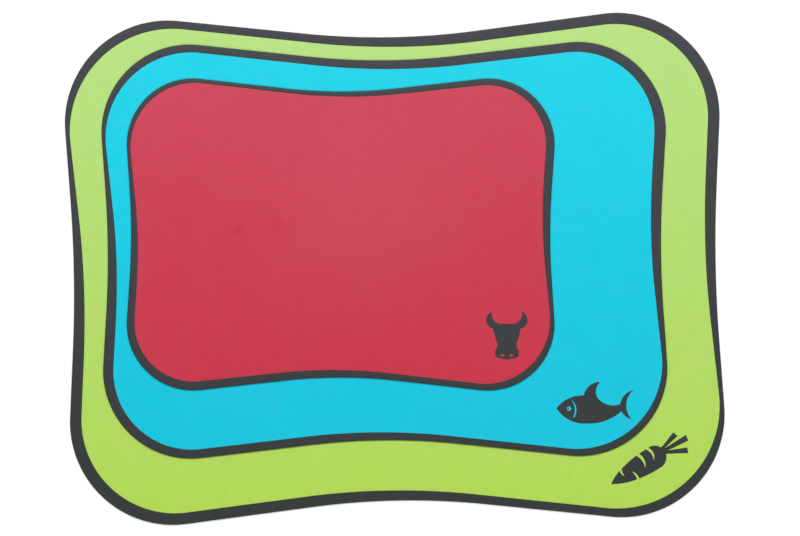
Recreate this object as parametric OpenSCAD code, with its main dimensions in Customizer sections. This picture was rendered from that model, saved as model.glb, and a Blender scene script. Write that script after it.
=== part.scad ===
// Set of three nested flexible cutting mats.
// Each mat is a coloured plastic panel with a charcoal soft edge moulded round it,
// and a charcoal food symbol laid into its face. The mats lie in a stack, largest at the bottom.

/* [Large mat] */
// Overall width of the large mat
large_w = 380; // [330:0.1:480]
// Overall depth of the large mat
large_d = 292.8; // [240:0.1:370]
// Radius of the large mat's corners
large_corner_r = 59.7; // [40:0.1:75]
// How far the large mat's long edges curve in at the middle
large_long_dip = 11.9; // [5:0.1:18]
// How far the large mat's short edges curve in at the middle
large_short_dip = 3.7; // [2.5:0.1:8]

/* [Middle mat] */
// Overall width of the middle mat
middle_w = 327.2; // [270:0.1:400]
// Overall depth of the middle mat
middle_d = 240.1; // [195:0.1:300]
// Radius of the middle mat's corners
middle_corner_r = 51; // [35:0.1:62]
// How far the middle mat's long edges curve in at the middle
middle_long_dip = 9.9; // [4:0.1:15]
// How far the middle mat's short edges curve in at the middle
middle_short_dip = 3.2; // [2.2:0.1:7]

/* [Small mat] */
// Overall width of the small mat
small_w = 247.9; // [200:0.1:300]
// Overall depth of the small mat
small_d = 180.7; // [145:0.1:225]
// Radius of the small mat's corners
small_corner_r = 38.4; // [26:0.1:48]
// How far the small mat's long edges curve in at the middle
small_long_dip = 7.5; // [3:0.1:12]
// How far the small mat's short edges curve in at the middle
small_short_dip = 2.5; // [1.8:0.1:6]

/* [Thickness] */
// Thickness of each mat at its soft edge
mat_t = 1.5; // [1.2:0.05:2.5]
// How far the soft edge stands below the panel, so that the mat rests on it
foot_t = 0.2; // [0.1:0.05:0.3]

/* [Soft edge, for the large, middle and small mat] */
// Its width at the middle of the long edges
band_long = [5.9, 4.9, 3.7]; // [3:0.1:8]
// Its width at the middle of the short edges
band_short = [6, 5.5, 4.2]; // [3:0.1:8]
// Its width on the long edges, where it runs into the bold corners
bold_long = [6.7, 5.5, 4.5]; // [3:0.1:9]
// Its width on the short edges, where it runs into the bold corners
bold_short = [6.8, 6.3, 4.8]; // [3:0.1:9]
// Its width on the long edges, where it runs into the fine corners
fine_long = [5.1, 4.4, 3.2]; // [2:0.1:8]
// Its width on the short edges, where it runs into the fine corners
fine_short = [2.9, 2.7, 2.4]; // [2:0.1:8]
// How much smaller the panel's radius is than the mat's at the bold corners
bold_r_less = [5.6, 5.5, 4.2]; // [0:0.1:8]
// How much smaller the panel's radius is than the mat's at the fine corners
fine_r_less = [0.2, 1.5, 1]; // [0:0.1:4]
// How far the panel's narrowest depth lies off the middle of the long edges
long_slip = [6, 5, 4.4]; // [0:0.1:10]
// How far the panel's narrowest width lies off the middle of the short edges
short_slip = [16.4, 14.1, 9.3]; // [0:0.1:18]
// How far the panel lies off the middle of its soft edge, sideways
panel_x = [0, -0.3, -0.2]; // [-0.6:0.1:0.6]
// How far the panel lies off the middle of its soft edge, front to back
panel_y = [0.1, -0.3, 0.6]; // [-0.8:0.1:0.8]
// Width of the tongue on the panel that holds the soft edge
tongue_w = 0.9; // [0.5:0.1:1.2]
// Thickness of the tongue
tongue_t = 0.5; // [0.3:0.05:0.7]

/* [Food symbols, for the large, middle and small mat] */
// Length of each symbol: the carrot, the fish and the bull's head
symbol_len = [45.2, 44.9, 27.8]; // [22:0.1:50]
// Distance of each symbol's middle from the mat's right edge
symbol_from_right = [43.8, 42.5, 27.6]; // [26:0.1:60]
// Distance of each symbol's middle from the mat's front edge
symbol_from_front = [33.8, 30, 31.7]; // [28:0.1:60]
// Depth of the symbol in the panel's face
symbol_t = 0.4; // [0.2:0.05:0.8]

/* [Stack] */
// Where the middle of the middle mat lies from the large mat's, sideways
middle_x = -5.8; // [-20:0.1:20]
// Where the middle of the middle mat lies from the large mat's, front to back
middle_y = 10.9; // [-15:0.1:15]
// How far the middle mat is turned, in degrees
middle_turn = -0.6; // [-3:0.1:3]
// Where the middle of the small mat lies from the large mat's, sideways
small_x = -31; // [-45:0.1:45]
// Where the middle of the small mat lies from the large mat's, front to back
small_y = 20.5; // [-30:0.1:30]
// How far the small mat is turned, in degrees
small_turn = -1; // [-3:0.1:3]

/* [Hidden] */

// Place of each mat in the lists above
LARGE = 0;
MIDDLE = 1;
SMALL = 2;
mat_w = [large_w, middle_w, small_w];
mat_d = [large_d, middle_d, small_d];
corner_r = [large_corner_r, middle_corner_r, small_corner_r];
long_dip = [large_long_dip, middle_long_dip, small_long_dip];
short_dip = [large_short_dip, middle_short_dip, small_short_dip];

// The round outer lip takes the soft edge's whole thickness
lip_r = mat_t / 2;
// The tongue lies at mid thickness of the panel
tongue_z = (foot_t + mat_t - tongue_t) / 2;
// Share of each half edge that runs straight between its corner and its curve
long_straight_share = 0.57;
short_straight_share = 0.45;
// Steps along a corner, along half of an edge's curve, round the lip and along a symbol's curves
corner_steps = 24;
curve_steps = 8;
lip_steps = 4;
bow_steps = 10;
// How far a cut runs past the face it opens
past = 1;

green = "#b9df78";
blue = "#0fd0e2";
red = "#d04b5d";
charcoal = "#434347";

// Outlines.
// A quarter of an outline is [corner x, corner y, corner radius,
// waist of the long edge x, y, waist of the short edge x, y], in the quadrant where both are positive.

// Half of an edge, drawn as the top one: stations [x, y, angle of the outward normal]
// along its hollow curve, from the waist to where the straight run to the corner starts.
// The tilt is the one at which arc, straight and corner meet without a kink; it is zero on a level edge.
function half_edge(cx, cy, r, waist_x, waist_y, straight_share) =
  let (
    run = cx - waist_x,
    straight = straight_share * run,
    tilt = 2 * atan((cy + r - waist_y) / (run + straight)),
    curve_r = tilt == 0 ? 0 : (run - straight * cos(tilt)) / sin(tilt) - r
  )
  [for (k = [0:curve_steps])
    let (
      a = tilt * k / curve_steps,
      along = tilt == 0 ? (run - straight) * k / curve_steps : curve_r * sin(a)
    )
    [waist_x + along, waist_y + curve_r * (1 - cos(a)), 90 + a]];

// The same for the right-hand edge: the top one mirrored over the diagonal
function swapped(stations) = [for (s = stations) [s[1], s[0], 90 - s[2]]];

// Stations of one quarter, from the short edge's waist round the corner to the long edge's waist
function quarter_run(q) =
  let (
    top = half_edge(q[0], q[1], q[2], q[3], q[4], long_straight_share),
    side = swapped(half_edge(q[1], q[0], q[2], q[6], q[5], short_straight_share)),
    first = side[curve_steps][2],
    last = top[curve_steps][2]
  )
  concat(
    side,
    [for (k = [0:corner_steps])
      let (a = first + (last - first) * k / corner_steps)
      [q[0] + q[2] * cos(a), q[1] + q[2] * sin(a), a]],
    [for (k = [curve_steps:-1:0]) top[k]]
  );

function without_last(list) = [for (k = [0:len(list) - 2]) list[k]];
function flipped(list) = [for (k = [len(list) - 1:-1:0]) [-list[k][0], list[k][1], 180 - list[k][2]]];
function turned(list) = [for (s = list) [-s[0], -s[1], 180 + s[2]]];

// A closed outline that looks the same after half a turn, from the quarter at its right
// back corner and the one at its left back corner
function closed_run(right, left) =
  let (
    one = without_last(quarter_run(right)),
    two = without_last(flipped(quarter_run(left)))
  )
  concat(one, two, turned(one), turned(two));

// The outline grown by g, as plain points
function grown(stations, g) = [for (s = stations) [s[0] + g * cos(s[2]), s[1] + g * sin(s[2])]];

// Outer outline of mat m: the same at all four corners
function mat_run(m) =
  let (
    r = corner_r[m],
    q = [
      mat_w[m] / 2 - r, mat_d[m] / 2 - r, r,
      0, mat_d[m] / 2 - long_dip[m],
      mat_w[m] / 2 - short_dip[m], 0,
    ]
  )
  closed_run(q, q);

// Quarter of mat m's panel, from the soft edge's width on the long and on the short edge by the corner
function panel_quarter(m, by_long, by_short, r, slip_sign) = [
  mat_w[m] / 2 - by_short - r,
  mat_d[m] / 2 - by_long - r,
  r,
  slip_sign * long_slip[m],
  mat_d[m] / 2 - long_dip[m] - band_long[m],
  mat_w[m] / 2 - short_dip[m] - band_short[m],
  slip_sign * short_slip[m],
];

// Outline of mat m's panel: bold soft edge at two opposite corners and fine at the others
function panel_run(m) =
  let (
    bold = panel_quarter(m, bold_long[m], bold_short[m], corner_r[m] - bold_r_less[m], 1),
    fine = panel_quarter(m, fine_long[m], fine_short[m], corner_r[m] - fine_r_less[m], -1)
  )
  [for (s = closed_run(bold, fine)) [s[0] + panel_x[m], s[1] + panel_y[m], s[2]]];

// Soft edge of mat m, one ring swept round the mat: a half-round lip outside,
// and inside a flat wall with the groove for the panel's tongue
module soft_edge(m) {
  outer = mat_run(m);
  inner = panel_run(m);
  wall = grown(inner, 0);
  groove = grown(inner, tongue_w);
  lip = [for (j = [0:lip_steps]) -90 + 180 * j / lip_steps];
  lip_rings = [for (a = lip) grown(outer, lip_r * (cos(a) - 1))];
  rings = concat(lip_rings, [wall, wall, groove, groove, wall, wall]);
  heights = concat(
    [for (a = lip) lip_r * (1 + sin(a))],
    [mat_t, tongue_z + tongue_t, tongue_z + tongue_t, tongue_z, tongue_z, 0]
  );
  n = len(outer);
  k = len(rings);
  points = [for (j = [0:k - 1]) for (p = rings[j]) [p[0], p[1], heights[j]]];
  faces = [for (j = [0:k - 1]) for (i = [0:n - 1])
    let (i2 = (i + 1) % n, j2 = (j + 1) % k)
    [j * n + i, j2 * n + i, j2 * n + i2, j * n + i2]];
  polyhedron(points = points, faces = faces, convexity = 4);
}

// Coloured panel of mat m, with its tongue and the pocket for its symbol
module panel(m) {
  outline = panel_run(m);
  difference() {
    union() {
      translate([0, 0, foot_t]) linear_extrude(mat_t - foot_t) polygon(grown(outline, 0));
      translate([0, 0, tongue_z]) linear_extrude(tongue_t) polygon(grown(outline, tongue_w));
    }
    at_symbol(m) linear_extrude(symbol_t + past) children();
  }
}

// The symbol's place in the right front corner of mat m, with its floor at height zero
module at_symbol(m) {
  translate([mat_w[m] / 2 - symbol_from_right[m], symbol_from_front[m] - mat_d[m] / 2, mat_t - symbol_t])
    children();
}

// Places mat m in the stack: each lies flat on the panel of the one below
module in_stack(m) {
  shift = [[0, 0], [middle_x, middle_y], [small_x, small_y]][m];
  turn = [0, middle_turn, small_turn][m];
  translate([shift[0], shift[1], m * mat_t]) rotate(turn) children();
}

// Symbols. Each is drawn in millimetres about its middle, as points [x, y, rise]: the side
// to the next point is an arc that rises by that much to the right of the way it runs.

function bow(p, q, rise) =
  let (
    chord = norm([q[0] - p[0], q[1] - p[1]]),
    along = [q[0] - p[0], q[1] - p[1]] / chord,
    right = [along[1], -along[0]],
    half = 2 * atan(2 * rise / chord),
    r = rise == 0 ? 0 : chord / 2 / sin(half)
  )
  rise == 0
    ? [[p[0], p[1]]]
    : [for (k = [0:bow_steps - 1])
        let (a = half * (2 * k / bow_steps - 1))
        [p[0], p[1]] + along * (chord / 2 + r * sin(a)) + right * r * (cos(a) - cos(half))];

function bows(list) = [for (k = [0:len(list) - 2]) each bow(list[k], list[k + 1], list[k][2])];
function closed_bows(list) = bows(concat(list, [list[0]]));

// Scales a symbol drawn with the given length to mat m's
module sized(m, drawn_len) {
  scale(symbol_len[m] / drawn_len) children();
}

carrot_drawn = 45.2;
carrot_side = [
  [-22.8, -14.4, 0.8], [-7.6, -11.8, 0.2], [-10.5, -7.3, -0.7], [-6.5, -11.5, 0.1],
  [2.1, -7.6, 0], [7.2, -4.6, 1], [9.3, 2.6, 0], [22.2, 2.8, 0], [21.7, 6.1, 0],
  [10.6, 4.6, 0], [22.4, 10.1, 0], [21, 13.4, 0], [8.6, 5.9, 0], [16.2, 12.9, 0],
  [13.7, 15, 0], [7, 6.8, 0], [6.2, 6.5, 1.1], [-1, 6.3, -1.6], [2.1, -1.1, 1.1],
  [-2.3, 5.4, 0.1], [-6.4, 2.8, -1.5], [-2.9, -5.2, 1], [-8, 1.8, 0.3],
  [-16.6, -5.6, 0.3], [-15, -9.8, -0.6], [-17.7, -6.7, 0.4],
];

module carrot() {
  sized(LARGE, carrot_drawn) polygon(closed_bows(carrot_side));
}

fish_drawn = 44.9;
fish_side = [
  [-22, -2.2, 2.9], [-3.8, -11.2, 2], [15.6, -4.3, 0.8], [21.6, -8.9, -3.8],
  [22.9, 8.1, 1.8], [14.9, -0.2, -2.1], [2, 3.5, -1.8], [3.7, 12.9, 2.3], [-6.1, 5.2, 2.1],
];
gill_side = [[-13.5, 2.9, -1.5], [-12.4, -7.4, 0], [-11.7, -7.6, 2.1]];
fish_eye = [-14.7, -2.5];
fish_eye_r = 1.3;
fish_pupil = [-15.1, -2.5];
fish_pupil_r = 0.5;

module fish() {
  sized(MIDDLE, fish_drawn) {
    difference() {
      polygon(closed_bows(fish_side));
      polygon(closed_bows(gill_side));
      translate(fish_eye) circle(fish_eye_r, $fn = 32);
    }
    translate(fish_pupil) circle(fish_pupil_r, $fn = 24);
  }
}

bull_drawn = 27.8;
bull_right = [
  [0, -13.8, 0.2], [5.5, -12.7, 0.6], [6.7, -10, 0.2], [6.8, -8.7, -1],
  [6.4, -2.6, 0.1], [7.9, 4, 3.7], [8.6, 14, -2.1], [3.7, 6.9, 0], [0, 6.9, 0],
];
nostril_side = [[1.1, -11.9, 0.4], [3.9, -11.3, 0.8]];

module bull() {
  right = bows(bull_right);
  left = [for (k = [len(right) - 1:-1:1]) [-right[k][0], right[k][1]]];
  sized(SMALL, bull_drawn) difference() {
    polygon(concat(right, left));
    for (side = [0, 1]) mirror([side, 0]) polygon(closed_bows(nostril_side));
  }
}

// Sub-parts

module large_panel() {
  color(green) in_stack(LARGE) panel(LARGE) carrot();
}

module large_soft_edge() {
  color(charcoal) in_stack(LARGE) soft_edge(LARGE);
}

module carrot_inlay() {
  color(charcoal) in_stack(LARGE) at_symbol(LARGE) linear_extrude(symbol_t) carrot();
}

module middle_panel() {
  color(blue) in_stack(MIDDLE) panel(MIDDLE) fish();
}

module middle_soft_edge() {
  color(charcoal) in_stack(MIDDLE) soft_edge(MIDDLE);
}

module fish_inlay() {
  color(charcoal) in_stack(MIDDLE) at_symbol(MIDDLE) linear_extrude(symbol_t) fish();
}

module small_panel() {
  color(red) in_stack(SMALL) panel(SMALL) bull();
}

module small_soft_edge() {
  color(charcoal) in_stack(SMALL) soft_edge(SMALL);
}

module bull_inlay() {
  color(charcoal) in_stack(SMALL) at_symbol(SMALL) linear_extrude(symbol_t) bull();
}

large_panel();
large_soft_edge();
carrot_inlay();
middle_panel();
middle_soft_edge();
fish_inlay();
small_panel();
small_soft_edge();
bull_inlay();
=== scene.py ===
"""Looks of a set of three nested flexible cutting mats, seen from straight above.

Each mat is a coloured plastic panel, a charcoal rubber soft edge and a charcoal rubber symbol. Every piece
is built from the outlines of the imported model's own nodes, so it lies exactly where they do.
All lengths are in metres.
"""

from math import ceil, cos, pi, radians, sin

import bmesh
import bpy
import numpy as np
from mathutils import Color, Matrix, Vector

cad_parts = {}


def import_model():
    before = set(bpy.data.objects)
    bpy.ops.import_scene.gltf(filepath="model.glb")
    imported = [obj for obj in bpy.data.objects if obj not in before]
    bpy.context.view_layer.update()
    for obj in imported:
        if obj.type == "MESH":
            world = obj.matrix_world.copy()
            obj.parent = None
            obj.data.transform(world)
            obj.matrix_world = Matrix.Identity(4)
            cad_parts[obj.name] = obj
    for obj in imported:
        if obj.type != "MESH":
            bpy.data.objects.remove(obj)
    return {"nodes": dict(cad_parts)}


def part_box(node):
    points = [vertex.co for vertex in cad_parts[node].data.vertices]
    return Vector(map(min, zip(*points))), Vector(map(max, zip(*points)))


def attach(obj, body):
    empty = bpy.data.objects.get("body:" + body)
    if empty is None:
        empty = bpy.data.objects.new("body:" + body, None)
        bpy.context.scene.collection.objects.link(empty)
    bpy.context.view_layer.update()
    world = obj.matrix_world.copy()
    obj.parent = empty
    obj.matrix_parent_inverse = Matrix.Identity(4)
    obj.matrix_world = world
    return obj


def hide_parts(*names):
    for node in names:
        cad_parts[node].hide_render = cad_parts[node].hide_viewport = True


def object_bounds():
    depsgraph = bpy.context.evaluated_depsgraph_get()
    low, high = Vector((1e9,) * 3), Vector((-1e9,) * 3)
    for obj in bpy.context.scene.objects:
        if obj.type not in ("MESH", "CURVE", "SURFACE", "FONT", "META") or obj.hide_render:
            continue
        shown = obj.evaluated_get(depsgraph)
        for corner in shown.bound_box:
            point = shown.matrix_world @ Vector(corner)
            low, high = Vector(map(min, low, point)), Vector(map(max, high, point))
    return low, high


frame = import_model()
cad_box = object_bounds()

MM = 0.001
WHITE = (1.0, 1.0, 1.0)

# Body, symbol and plastic of each mat
MATS = [
    ("large", "carrot", "green"),
    ("middle", "fish", "blue"),
    ("small", "bull", "red"),
]

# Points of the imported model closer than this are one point
MERGE = 0.001 * MM
# A side this many times longer than the next one is a straight run, not a chord of a curve
STRAIGHT_RATIO = 3
# Longest step along a mat's outline
OUTLINE_STEP = 1.6 * MM
# Corners of an inset outline move at most this many times further than its sides
MITRE_LIMIT = 2.5

# Round rims of the panels and soft edges, and of the symbols and their pockets
RIM_ROUND = 0.12 * MM
SYMBOL_ROUND = 0.05 * MM
ROUND_STEPS = 4
# The soft edge's half-round lip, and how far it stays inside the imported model's
LIP_STEPS = 16
LIP_SLACK = 0.03 * MM
# Faint crown on the soft edge's top
CROWN = 0.05 * MM
CROWN_STEPS = 6
# Gap between a soft edge and what it rests on
SEAT_GAP = 0.01 * MM

# Shade of each material at the mats' front and at their back, as a screen shows it. The back one is paler
# than the front by a painted sheen, a veil of reflected light
SHADES_WITH_SHEEN = {
    "green": ("#b2da55", "#b7e07f"),
    "blue": ("#00c3dd", "#00d3e9"),
    "red": ("#c62b3d", "#cd4258"),
    "charcoal": ("#2e3232", "#3c3e44"),
}
# Front and back, between which the painted sheen fades in
SHEEN_FADE_SPAN = (-130 * MM, 130 * MM)
# Rubbed places in a mat's face, and on the red a broad paler patch that is a painted sheen in its middle:
# sideways, front to back, radius, and how much deeper the colour is there. A paler one has a negative number
MARKS_AND_SHEEN = {
    "red": [
        (-67.8 * MM, 26.4 * MM, 6.4 * MM, 0.024),
        (-90.3 * MM, 23.6 * MM, 4.8 * MM, 0.024),
        # Painted sheen: the broad paler patch in the middle of the red
        (-20 * MM, 30 * MM, 80 * MM, -0.018),
    ]
}
# A rubbed place, or the painted sheen patch, fades out as its distance plus a noise, both in radii, goes
# from the first to the second
PATCH_FADE = (0.7, 1.5)
# Values that the noises mostly stay between
NOISE_SPAN = (0.25, 0.75)
# How far brightness and saturation vary either way
MOTTLE = 0.02
TINT = 0.008
# Layers of noise: size of the blotches and weight
TINT_LAYERS = [(14 * MM, 0.8), (5 * MM, 1.0)]
GLOSS_LAYERS = [(30 * MM, 1.0), (2 * MM, 0.5)]
PLASTIC_MOTTLE = [(45 * MM, 0.5), (14 * MM, 0.5), (6 * MM, 0.7), (2.5 * MM, 0.9), (0.9 * MM, 1.5)]
PLASTIC_GRAIN = [(0.45 * MM, 1.0), (0.18 * MM, 0.5)]
RUBBER_MOTTLE = [(20 * MM, 0.6), (4 * MM, 0.8), (0.6 * MM, 1.0)]
RUBBER_GRAIN = [(0.3 * MM, 1.0), (0.12 * MM, 0.6)]
# Depth of the grain, range of the roughness, and level of the reflections
PLASTIC_BUMP = 0.006 * MM
PLASTIC_ROUGH = (0.29, 0.34)
PLASTIC_SPECULAR = 0.4
RUBBER_BUMP = 0.012 * MM
RUBBER_ROUGH = (0.45, 0.55)
RUBBER_SPECULAR = 0.25

# The camera looks straight down from the photograph's place. PIXEL is what one pixel spans on the table
PHOTO_W = 800
PIXEL = 0.58047 * MM
CAMERA_XY = (3.06 * MM, 0.43 * MM)
CAMERA_HEIGHT = 2.0
CAMERA_ROLL = radians(-0.98)
SENSOR_W_MM = 36

# Square floor with low walls
FLOOR_SIDE = 8.0
WALL_HEIGHT = 0.6
FLOOR_GAP = 0.01 * MM
FLOOR_GREY = 0.82
FLOOR_ROUGH = 0.9
FLOOR_SPECULAR = 0.1
# Glow of the floor to the camera: this strong near the object, rising to 1 between these distances
FLOOR_GLOW = 0.3
GLOW_SPAN = (0.6, 2.4)

# Soft boxes: place, width and depth, power and colour
LAMPS = {
    "key": ((0.0, 1.5, 2.5), (3.6, 0.6), 79, WHITE),
    "overhead": ((0.0, 0.45, 2.5), (0.9, 0.9), 1.2, (0.75, 0.8, 1.0)),
    "fill": ((0.0, -1.5, 2.5), (3.6, 0.6), 30.5, WHITE),
}
# Strength of the room's even light
WORLD_FILL = 0.1


# Outlines


def sides(loop):
    """Vectors from each point of a closed outline to the next."""
    return [b - a for a, b in zip(loop, loop[1:] + loop[:1])]


def length(loop):
    """Length of a closed outline."""
    return sum(side.length for side in sides(loop))


def to_left(way):
    """The way turned a quarter turn to the left."""
    return Vector((-way.y, way.x))


def top_loops(node):
    """Closed outlines of a node's top face, each with the material on its left. The longest comes first."""
    mesh = bmesh.new()
    mesh.from_mesh(frame["nodes"][node].data)
    bmesh.ops.remove_doubles(mesh, verts=mesh.verts, dist=MERGE)
    top = max(vert.co.z for vert in mesh.verts)
    flat = [face for face in mesh.faces if min(vert.co.z for vert in face.verts) > top - MERGE]
    in_flat = set(flat)
    after = {}
    for face in flat:
        for corner in face.loops:
            if sum(other in in_flat for other in corner.edge.link_faces) == 1:
                after[corner.vert] = corner.link_loop_next.vert
    loops = []
    while after:
        first, vert = after.popitem()
        loop = [first.co.xy]
        while vert is not first:
            loop.append(vert.co.xy)
            vert = after.pop(vert)
        loops.append(loop)
    mesh.free()
    return sorted(loops, key=length, reverse=True)


def tangents(loop):
    """Way the curve runs at each point. Where a straight run starts or ends, it is that run's."""
    runs = sides(loop)
    ways = []
    for a, b in zip(runs[-1:] + runs[:-1], runs):
        if a.length > STRAIGHT_RATIO * b.length:
            way = a
        elif b.length > STRAIGHT_RATIO * a.length:
            way = b
        else:
            way = a.normalized() * b.length + b.normalized() * a.length
        ways.append(way.normalized())
    return ways


def smooth(loop):
    """The outline with its chords bent into one smooth curve, in short steps."""
    ways = tangents(loop)
    points = []
    for start, side, way, next_way in zip(loop, sides(loop), ways, ways[1:] + ways[:1]):
        steps = ceil(side.length / OUTLINE_STEP)
        for step in range(steps):
            t = step / steps
            bend = way * t * (1 - t) ** 2 - next_way * (1 - t) * t**2
            points.append(start + side * t**2 * (3 - 2 * t) + bend * side.length)
    return points


def inset(loop, distance):
    """The outline moved into the material, with mitred corners."""
    ways = [to_left(side.normalized()) for side in sides(loop)]
    moved = []
    for point, a, b in zip(loop, ways[-1:] + ways[:-1], ways):
        middle = (a + b) / 2
        moved.append(point + middle * distance * min(MITRE_LIMIT, 1 / middle.length_squared))
    return moved


def nearest_on(loop, points):
    """For each point, the nearest one of a closed outline."""
    starts = np.array(loop)
    runs = np.roll(starts, -1, axis=0) - starts
    found = []
    for point in np.array(points):
        share = ((point - starts) * runs).sum(axis=1) / (runs**2).sum(axis=1)
        feet = starts + runs * share.clip(0, 1)[:, None]
        found.append(Vector(feet[((feet - point) ** 2).sum(axis=1).argmin()]))
    return found


# Meshes


def add_ring(mesh, loop, z):
    """Points of an outline at a height."""
    return [mesh.verts.new((point.x, point.y, z)) for point in loop]


def bridge(mesh, low, high):
    """Wall between two rings, facing away from the material on their left."""
    for a, b, c, d in zip(low, low[1:] + low[:1], high[1:] + high[:1], high):
        mesh.faces.new((a, b, c, d))


def stack(mesh, rings):
    """Wall through all the rings in their order."""
    for low, high in zip(rings, rings[1:]):
        bridge(mesh, low, high)


def cap(mesh, rings, up):
    """Flat face across closed rings, open where one lies inside another."""
    edges = []
    for ring in rings:
        for a, b in zip(ring, ring[1:] + ring[:1]):
            edges.append(mesh.edges.get((a, b)) or mesh.edges.new((a, b)))
    filled = bmesh.ops.triangle_fill(mesh, edges=edges, use_beauty=True)["geom"]
    for face in filled:
        if isinstance(face, bmesh.types.BMFace):
            face.normal_update()
            if (face.normal.z > 0) != up:
                face.normal_flip()


def rounding(size):
    """Steps of a round rim from its wall to its flat face: how far inward, and how far short of the face."""
    angles = [pi / 2 * k / ROUND_STEPS for k in range(ROUND_STEPS + 1)]
    return [(size * (1 - cos(angle)), size * (1 - sin(angle))) for angle in angles]


def wall(mesh, loop, low, high):
    """Wall of a slab with round rims. Gives its rings from the lowest to the highest."""
    shoulder = rounding(RIM_ROUND)
    rings = [add_ring(mesh, inset(loop, inward), low + short) for inward, short in shoulder[::-1]]
    rings += [add_ring(mesh, inset(loop, inward), high - short) for inward, short in shoulder]
    stack(mesh, rings)
    return rings


def pocket_wall(mesh, loop, low, high):
    """Wall of a symbol or its pocket, with a fine round rim at the top only."""
    rings = [add_ring(mesh, loop, low)]
    for inward, short in rounding(SYMBOL_ROUND):
        rings.append(add_ring(mesh, inset(loop, inward), high - short))
    stack(mesh, rings)
    return rings


def as_piece(mesh, name, material):
    """The mesh as an object that shades smooth round its rims and flat on its large faces."""
    data = bpy.data.meshes.new(name)
    mesh.to_mesh(data)
    mesh.free()
    data.materials.append(material)
    data.shade_smooth()
    piece = bpy.data.objects.new(name, data)
    bpy.context.scene.collection.objects.link(piece)
    piece.modifiers.new("flat_faces", "WEIGHTED_NORMAL")
    return piece


def panel(name, node, symbol_node, material):
    """Coloured panel with round rims and the pocket of its symbol."""
    low, high = (corner.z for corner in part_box(node))
    pocket_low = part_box(symbol_node)[0].z
    outline, *pocket = top_loops(node)
    mesh = bmesh.new()
    outer = wall(mesh, smooth(outline), low, high)
    inner = [pocket_wall(mesh, loop, pocket_low, high) for loop in pocket]
    cap(mesh, [outer[-1]] + [rings[-1] for rings in inner], up=True)
    cap(mesh, [rings[0] for rings in inner], up=True)
    cap(mesh, [outer[0]], up=False)
    return as_piece(mesh, name, material)


def symbol(name, node, material):
    """Symbol laid flush into its pocket."""
    low, high = (corner.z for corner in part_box(node))
    mesh = bmesh.new()
    walls = [pocket_wall(mesh, loop, low, high) for loop in top_loops(node)]
    cap(mesh, [rings[-1] for rings in walls], up=True)
    cap(mesh, [rings[0] for rings in walls], up=False)
    return as_piece(mesh, name, material)


def soft_edge(name, node, material):
    """Soft edge swept round the mat: half-round lip outside, faint crown on top, straight wall inside."""
    low, high = (corner.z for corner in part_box(node))
    low += SEAT_GAP
    brow, hole = (smooth(loop) for loop in top_loops(node))
    outward = [-to_left(way) for way in tangents(brow)]
    inner = nearest_on(hole, brow)
    across = [b - a for a, b in zip(brow, inner)]
    lip_w = (high - low) / 2 - LIP_SLACK
    lip_h = (high - low - CROWN) / 2
    mesh = bmesh.new()
    rings = []
    for k in range(LIP_STEPS + 1):
        angle = pi * (k / LIP_STEPS - 1 / 2)
        loop = [point + way * lip_w * cos(angle) for point, way in zip(brow, outward)]
        rings.append(add_ring(mesh, loop, low + lip_h * (1 + sin(angle))))
    for k in range(1, CROWN_STEPS):
        share = k / CROWN_STEPS
        loop = [point + way * share for point, way in zip(brow, across)]
        rings.append(add_ring(mesh, loop, high - CROWN * (2 * share - 1) ** 2))
    shoulder = rounding(RIM_ROUND)
    steps = [(inward, high - CROWN - short) for inward, short in shoulder[::-1]]
    steps += [(inward, low + short) for inward, short in shoulder]
    for inward, z in steps:
        loop = [point - way.normalized() * inward for point, way in zip(inner, across)]
        rings.append(add_ring(mesh, loop, z))
    stack(mesh, rings + rings[:1])
    return as_piece(mesh, name, material)


# Materials


def linear(screen_colour):
    """RGBA of a screen colour written as #rrggbb."""
    values = [int(screen_colour[k : k + 2], 16) / 255 for k in (1, 3, 5)]
    return (*Color(values).from_srgb_to_scene_linear(), 1)


def add(tree, kind, inputs, **settings):
    """New node; an input that is another node's socket is linked."""
    node = tree.nodes.new(kind)
    for key, value in settings.items():
        setattr(node, key, value)
    for key, value in inputs.items():
        if isinstance(value, bpy.types.NodeSocket):
            tree.links.new(value, node.inputs[key])
        else:
            node.inputs[key].default_value = value
    return node


def noise(tree, size):
    """Soft noise around 0.5, whose blotches are about this size."""
    place = add(tree, "ShaderNodeTexCoord", {}).outputs["Object"]
    return add(tree, "ShaderNodeTexNoise", {"Vector": place, "Scale": 1 / size}).outputs["Fac"]


def layered(tree, layers):
    """Sum of noises around 0.5, from pairs of size and weight."""
    total = 0.5 - sum(weight for _, weight in layers) / 2
    for size, weight in layers:
        inputs = {0: noise(tree, size), 1: weight, 2: total}
        total = add(tree, "ShaderNodeMath", inputs, operation="MULTIPLY_ADD").outputs[0]
    return total


def ranged(tree, value, span, low, high):
    """Number that goes from low to high as the value goes through its span."""
    inputs = {"Value": value, "From Min": span[0], "From Max": span[1], "To Min": low, "To Max": high}
    return add(tree, "ShaderNodeMapRange", inputs).outputs["Result"]


def painted_sheen_fade(tree, shades_with_sheen):
    """Colour that goes from the first shade at the mats' front to the second at their back: a painted sheen
    that makes the back paler.
    """
    place = add(tree, "ShaderNodeTexCoord", {}).outputs["Object"]
    along = add(tree, "ShaderNodeSeparateXYZ", {"Vector": place}).outputs["Y"]
    mix = add(tree, "ShaderNodeMix", {0: ranged(tree, along, SHEEN_FADE_SPAN, 0, 1)}, data_type="RGBA")
    colours = [socket for socket in mix.inputs if socket.type == "RGBA"]
    for socket, shade in zip(colours, shades_with_sheen):
        socket.default_value = linear(shade)
    return next(socket for socket in mix.outputs if socket.type == "RGBA")


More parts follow.
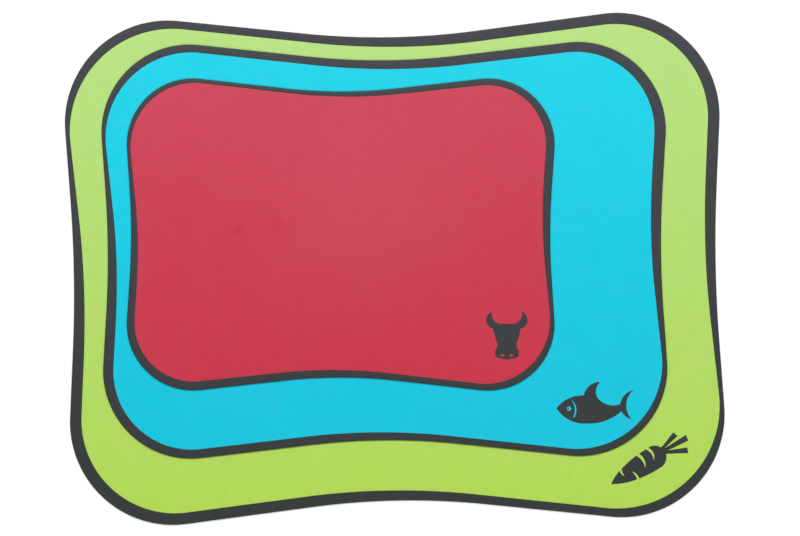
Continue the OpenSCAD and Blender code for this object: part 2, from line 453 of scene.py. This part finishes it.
def rubbed_and_sheen(tree, marks_and_sheen):
    """How much deeper the rubbed places make the colour at each point, and how much paler the painted sheen
    patch makes it. Their edges are ragged.
    """
    place = add(tree, "ShaderNodeTexCoord", {}).outputs["Object"]
    flat = add(tree, "ShaderNodeVectorMath", {0: place, 1: (1, 1, 0)}, operation="MULTIPLY").outputs[0]
    total = 0.0
    for x, y, radius, depth in marks_and_sheen:
        inputs = {0: flat, 1: (x, y, 0)}
        away = add(tree, "ShaderNodeVectorMath", inputs, operation="DISTANCE").outputs["Value"]
        inputs = {0: noise(tree, radius), 1: radius, 2: away}
        ragged = add(tree, "ShaderNodeMath", inputs, operation="MULTIPLY_ADD").outputs[0]
        deeper = ranged(tree, ragged, [share * radius for share in PATCH_FADE], depth, 0)
        total = add(tree, "ShaderNodeMath", {0: deeper, 1: total}, operation="ADD").outputs[0]
    return total


def moulded(name, shades_with_sheen, marks_and_sheen, mottle, grain, grain_depth, roughness, specular):
    """Moulded surface: mottled colour that a painted sheen makes paler towards the back and in the middle of
    the red, with rubbed spots, fine grain, and a gloss that varies a little.
    """
    material = bpy.data.materials.new(name)
    material.use_nodes = True
    tree = material.node_tree
    shader = tree.nodes["Principled BSDF"]
    shader.inputs["Specular IOR Level"].default_value = specular
    value = ranged(tree, layered(tree, mottle), NOISE_SPAN, 1 - MOTTLE, 1 + MOTTLE)
    saturation_and_sheen = ranged(tree, layered(tree, TINT_LAYERS), NOISE_SPAN, 1 - TINT, 1 + TINT)
    saturation_and_sheen = add(tree, "ShaderNodeMath", {0: rubbed_and_sheen(tree, marks_and_sheen), 1: saturation_and_sheen}, operation="ADD").outputs[0]
    # The base colour carries the painted sheen, paler towards the back and in the middle of the red
    inputs = {"Color": painted_sheen_fade(tree, shades_with_sheen), "Saturation": saturation_and_sheen, "Value": value}
    colour = add(tree, "ShaderNodeHueSaturation", inputs).outputs["Color"]
    tree.links.new(colour, shader.inputs["Base Color"])
    gloss = ranged(tree, layered(tree, GLOSS_LAYERS), NOISE_SPAN, *roughness)
    tree.links.new(gloss, shader.inputs["Roughness"])
    inputs = {"Height": layered(tree, grain), "Distance": grain_depth, "Strength": 1}
    tree.links.new(add(tree, "ShaderNodeBump", inputs).outputs["Normal"], shader.inputs["Normal"])
    return material


def plastic(colour):
    """Satin polypropylene sheet."""
    return moulded(
        colour + "_polypropylene",
        shades_with_sheen=SHADES_WITH_SHEEN[colour],
        marks_and_sheen=MARKS_AND_SHEEN.get(colour, []),
        mottle=PLASTIC_MOTTLE,
        grain=PLASTIC_GRAIN,
        grain_depth=PLASTIC_BUMP,
        roughness=PLASTIC_ROUGH,
        specular=PLASTIC_SPECULAR,
    )


def rubber():
    """Matte thermoplastic rubber."""
    return moulded(
        "charcoal_rubber",
        shades_with_sheen=SHADES_WITH_SHEEN["charcoal"],
        marks_and_sheen=[],
        mottle=RUBBER_MOTTLE,
        grain=RUBBER_GRAIN,
        grain_depth=RUBBER_BUMP,
        roughness=RUBBER_ROUGH,
        specular=RUBBER_SPECULAR,
    )


# Stage


def soft_box(name, place, size, power, colour):
    """Rectangular lamp that looks at the middle of the stack."""
    data = bpy.data.lights.new(name, "AREA")
    data.shape = "RECTANGLE"
    data.size, data.size_y = size
    data.energy = power
    data.color = colour
    lamp = bpy.data.objects.new(name, data)
    lamp.location = place
    lamp.rotation_euler = (-Vector(place)).to_track_quat("-Z", "Y").to_euler()
    bpy.context.scene.collection.objects.link(lamp)


def floor_material():
    """Pale floor that shows white to the camera and in reflections, and still takes the shadow."""
    material = bpy.data.materials.new("white_floor")
    material.use_nodes = True
    tree = material.node_tree
    shader = tree.nodes["Principled BSDF"]
    shader.inputs["Base Color"].default_value = (FLOOR_GREY, FLOOR_GREY, FLOOR_GREY, 1)
    shader.inputs["Roughness"].default_value = FLOOR_ROUGH
    shader.inputs["Specular IOR Level"].default_value = FLOOR_SPECULAR
    shader.inputs["Emission Color"].default_value = (*WHITE, 1)
    rays = add(tree, "ShaderNodeLightPath", {}).outputs
    seen = rays["Is Camera Ray"]
    for kind in ("Is Glossy Ray", "Is Transmission Ray"):
        seen = add(tree, "ShaderNodeMath", {0: seen, 1: rays[kind]}, operation="MAXIMUM").outputs[0]
    place = add(tree, "ShaderNodeTexCoord", {}).outputs["Object"]
    away = add(tree, "ShaderNodeVectorMath", {0: place}, operation="LENGTH").outputs["Value"]
    glow = ranged(tree, away, GLOW_SPAN, FLOOR_GLOW, 1)
    glow = add(tree, "ShaderNodeMath", {0: seen, 1: glow}, operation="MULTIPLY").outputs[0]
    tree.links.new(glow, shader.inputs["Emission Strength"])
    return material


def floor():
    """Square floor with a low wall on each side."""
    half = FLOOR_SIDE / 2
    corners = [(-half, -half), (half, -half), (half, half), (-half, half)]
    points = [(x, y, z) for z in (0, WALL_HEIGHT) for x, y in corners]
    walls = [(k, k + 4, (k + 1) % 4 + 4, (k + 1) % 4) for k in range(4)]
    data = bpy.data.meshes.new("floor")
    data.from_pydata(points, [], [(0, 1, 2, 3), *walls])
    data.materials.append(floor_material())
    obj = bpy.data.objects.new("floor", data)
    obj.location.z = cad_box[0].z - FLOOR_GAP
    bpy.context.scene.collection.objects.link(obj)


def world():
    """Even pale room that gives the object a soft fill light."""
    room = bpy.data.worlds.new("room")
    room.use_nodes = True
    bpy.context.scene.world = room
    background = room.node_tree.nodes["Background"]
    background.inputs["Color"].default_value = (*WHITE, 1)
    background.inputs["Strength"].default_value = WORLD_FILL


def camera():
    """Long lens straight above, framed and rolled as the photograph is."""
    data = bpy.data.cameras.new("camera")
    data.sensor_width = SENSOR_W_MM
    data.lens = SENSOR_W_MM * CAMERA_HEIGHT / (PHOTO_W * PIXEL)
    obj = bpy.data.objects.new("camera", data)
    obj.location = (*CAMERA_XY, CAMERA_HEIGHT)
    obj.rotation_euler = (0, 0, CAMERA_ROLL)
    bpy.context.scene.collection.objects.link(obj)
    bpy.context.scene.camera = obj


# The set

charcoal = rubber()
for size, food, colour in MATS:
    body = size + "_mat"
    pieces = {
        size + "_panel": panel(body + "_panel", size + "_panel", food + "_inlay", plastic(colour)),
        size + "_soft_edge": soft_edge(body + "_soft_edge", size + "_soft_edge", charcoal),
        food + "_inlay": symbol(food + "_symbol", food + "_inlay", charcoal),
    }
    for node, piece in pieces.items():
        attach(piece, body)
        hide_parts(node)

camera()
floor()
world()
for name, (place, size, power, colour) in LAMPS.items():
    soft_box(name, place, size, power, colour)
bpy.context.scene.view_settings.view_transform = "Standard"
